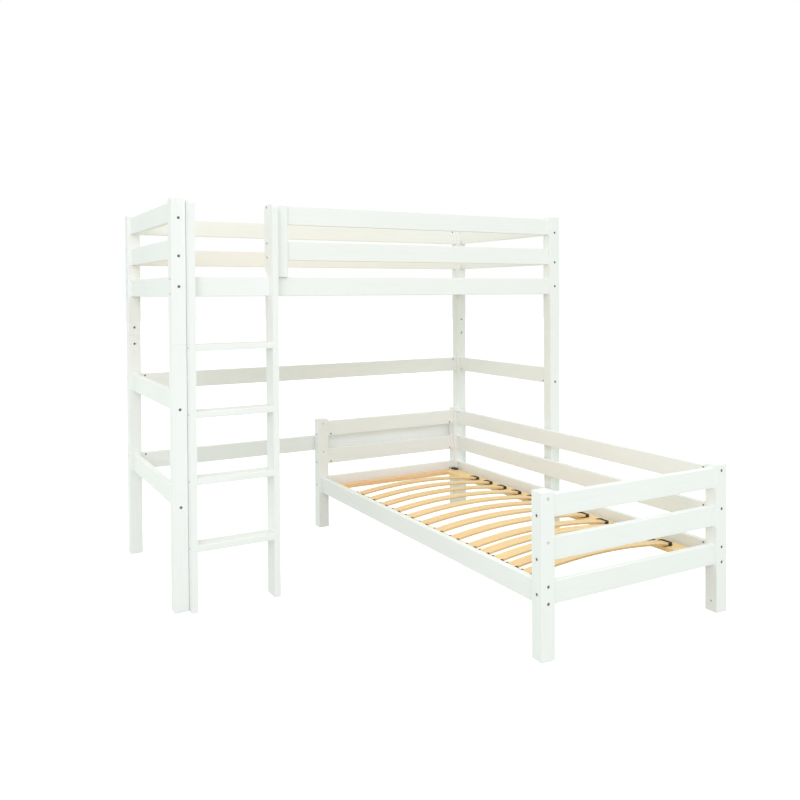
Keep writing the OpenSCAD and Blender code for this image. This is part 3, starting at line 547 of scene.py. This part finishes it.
class BUNKBED_OT_build_stage(bpy.types.Operator):
    """Lay the floor, light the studio and stand the camera"""

    bl_idname = "bunkbed.build_stage"
    bl_label = "Build Stage"

    def execute(self, context):
        stage = context.scene.bunkbed_stage
        self.lay_floor(context, stage)
        self.light_sky(context, stage)
        self.hang_key(context, stage)
        self.stand_camera(context, stage)
        context.scene.view_settings.view_transform = "Standard"
        return {"FINISHED"}

    def lay_floor(self, context, stage):
        """A round floor that the camera sees as white, apart from the bed's shadow."""
        disc = bmesh.new()
        bmesh.ops.create_circle(disc, cap_ends=True, segments=FLOOR_EDGES, radius=stage.floor_radius)
        mesh = bpy.data.meshes.new("floor")
        disc.to_mesh(mesh)
        disc.free()
        floor = bpy.data.objects.new("floor", mesh)
        context.scene.collection.objects.link(floor)
        material, tree, shader = new_material("pale_floor")
        shader.inputs["Base Color"].default_value = stage.floor_colour
        shader.inputs["Roughness"].default_value = FLOOR_ROUGHNESS
        shader.inputs["Specular IOR Level"].default_value = FLOOR_SHINE
        shader.inputs["Emission Color"].default_value = WHITE
        glow = math_node(tree, "MULTIPLY", seen_directly(tree), stage.floor_glow)
        feed(tree, shader.inputs["Emission Strength"], glow)
        mesh.materials.append(material)

    def light_sky(self, context, stage):
        """A soft dome, brighter overhead, which the camera sees as plain white."""
        world = bpy.data.worlds.new("studio")
        context.scene.world = world
        world.use_nodes = True
        tree = world.node_tree
        tree.nodes.clear()
        height = add(tree, "ShaderNodeSeparateXYZ", {"Vector": sky_direction(tree)}).outputs[2]
        dome = spread(tree, height, (0.0, 1.0), stage.sky_low, stage.sky_high)
        light = add(tree, "ShaderNodeBackground", {"Color": stage.sky_colour, "Strength": dome})
        white = add(tree, "ShaderNodeBackground", {"Color": WHITE, "Strength": 1.0})
        both = add(tree, "ShaderNodeMixShader",
                   {0: seen_directly(tree), 1: light.outputs[0], 2: white.outputs[0]})
        add(tree, "ShaderNodeOutputWorld", {"Surface": both.outputs[0]})

    def hang_key(self, context, stage):
        """One large square lamp, up and behind the camera's left."""
        lamp = bpy.data.lights.new("key_lamp", "AREA")
        lamp.shape = "SQUARE"
        lamp.size = stage.key_size
        lamp.energy = stage.key_power
        lamp.color = stage.key_colour
        key = bpy.data.objects.new("key_lamp", lamp)
        place = Vector(stage.key_place)
        turn = (Vector(stage.key_aim) - place).to_track_quat("-Z", "Y").to_matrix().to_4x4()
        key.matrix_world = Matrix.Translation(place) @ turn
        context.scene.collection.objects.link(key)

    def stand_camera(self, context, stage):
        """The camera at the photograph's point of view."""
        lens = bpy.data.cameras.new("camera")
        lens.sensor_fit = "HORIZONTAL"
        lens.sensor_width = SENSOR_WIDTH
        lens.lens = stage.camera_lens
        lens.shift_x, lens.shift_y = stage.camera_shift
        lens.clip_end = 4 * stage.floor_radius
        camera = bpy.data.objects.new("camera", lens)
        camera.matrix_world = (
            Matrix.Translation(stage.camera_place)
            @ Matrix.Rotation(-stage.camera_heading, 4, "Z")
            @ Matrix.Rotation(math.pi / 2 + stage.camera_tilt, 4, "X")
            @ Matrix.Rotation(stage.camera_roll, 4, "Z"))
        context.scene.collection.objects.link(camera)
        context.scene.camera = camera


# ---------------------------------------------------------------- panel and registration

OPERATORS = (
    BUNKBED_OT_paint_posts,
    BUNKBED_OT_paint_long_boards,
    BUNKBED_OT_paint_cross_boards,
    BUNKBED_OT_varnish_slats,
    BUNKBED_OT_varnish_frames,
    BUNKBED_OT_finish_holders,
    BUNKBED_OT_finish_fasteners,
    BUNKBED_OT_build_stage,
)
SETTINGS = {
    "bunkbed_paint": PaintSettings,
    "bunkbed_wood": WoodSettings,
    "bunkbed_hardware": HardwareSettings,
    "bunkbed_stage": StageSettings,
}


class BUNKBED_PT_finishes(bpy.types.Panel):
    """Every finish and every step, in the order in which they run"""

    bl_idname = "BUNKBED_PT_finishes"
    bl_label = "Bunk Bed"
    bl_space_type = "VIEW_3D"
    bl_region_type = "UI"
    bl_category = "Bunk Bed"

    def draw(self, context):
        for name, group in SETTINGS.items():
            box = self.layout.box()
            box.label(text=group.__doc__)
            for prop in group.__annotations__:
                box.prop(getattr(context.scene, name), prop)
        for operator in OPERATORS:
            self.layout.operator(operator.bl_idname)


def register():
    for group in SETTINGS.values():
        bpy.utils.register_class(group)
    for name, group in SETTINGS.items():
        setattr(bpy.types.Scene, name, PointerProperty(type=group))
    for made in (*OPERATORS, BUNKBED_PT_finishes):
        bpy.utils.register_class(made)


def unregister():
    for made in reversed((*OPERATORS, BUNKBED_PT_finishes)):
        bpy.utils.unregister_class(made)
    for name, group in reversed(SETTINGS.items()):
        delattr(bpy.types.Scene, name)
        bpy.utils.unregister_class(group)


def plain(corners):
    """Corners as plain lists of numbers."""
    return [[float(value) for value in corner] for corner in corners]


def main():
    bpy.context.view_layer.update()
    register()
    for operator in OPERATORS:
        group, name = operator.bl_idname.split(".")
        getattr(getattr(bpy.ops, group), name)()


if __name__ == "__main__":
    main()
